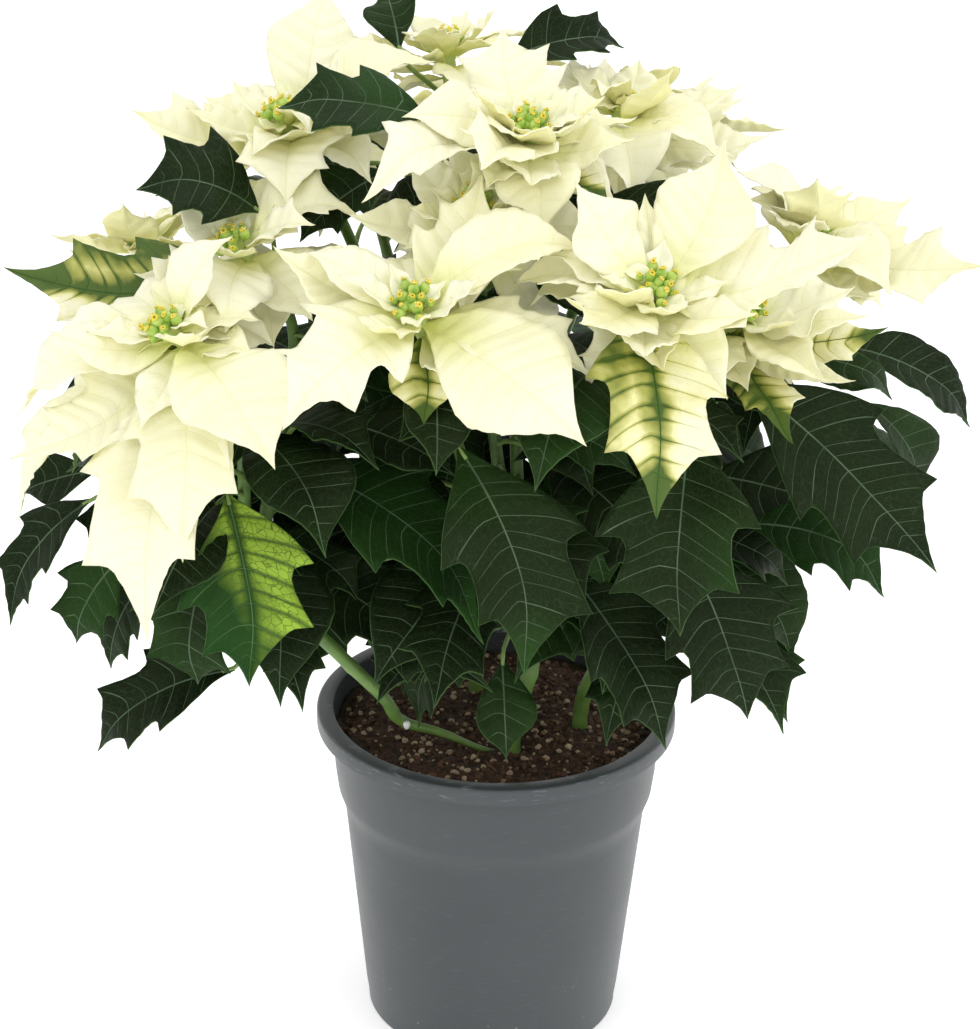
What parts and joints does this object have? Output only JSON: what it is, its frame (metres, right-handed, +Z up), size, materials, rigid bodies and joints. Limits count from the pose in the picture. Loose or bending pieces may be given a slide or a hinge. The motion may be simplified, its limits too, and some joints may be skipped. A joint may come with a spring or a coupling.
{
  "type": "potted poinsettia",
  "caption": "Cream-white poinsettia with dark green leaves and green-yellow flower clusters, growing in a dark grey plastic nursery pot filled with soil.",
  "frame": {"origin": "middle of the pot's flat underside", "axes": "+Z up, the way the plant grows; -Y is the side that the picture is taken from"},
  "size_m": [0.4389, 0.3338, 0.5016],
  "materials": {
    "pot_plastic": "satin",
    "peat": "matte",
    "leaf_green": "satin",
    "bract_ivory": "matte",
    "flower_green": "satin"
  },
  "bodies": {
    "root": {"pot": "pot_plastic", "soil": "peat", "plant_left": "leaf_green", "plant_front": "leaf_green", "plant_right": "leaf_green", "plant_back": "leaf_green", "bloom_front": "bract_ivory", "bloom_left_low": "bract_ivory", "bloom_left_mid": "bract_ivory", "bloom_high": "bract_ivory", "bloom_right_front": "bract_ivory", "bloom_right_mid": "bract_ivory", "bloom_right_back": "bract_ivory", "bloom_high_right": "bract_ivory", "bloom_high_left": "bract_ivory", "bloom_top": "bract_ivory", "bloom_inner": "bract_ivory", "bloom_left_back": "bract_ivory", "bloom_back_left": "bract_ivory", "bloom_back_right": "bract_ivory", "flowers_front": "flower_green", "flowers_left_low": "flower_green", "flowers_left_mid": "flower_green", "flowers_high": "flower_green", "flowers_right_front": "flower_green", "flowers_right_mid": "flower_green", "flowers_right_back": "flower_green", "flowers_high_right": "flower_green", "flowers_high_left": "flower_green", "flowers_top": "flower_green", "flowers_inner": "flower_green", "flowers_left_back": "flower_green", "flowers_back_left": "flower_green", "flowers_back_right": "flower_green"}
  },
  "joints": []
}
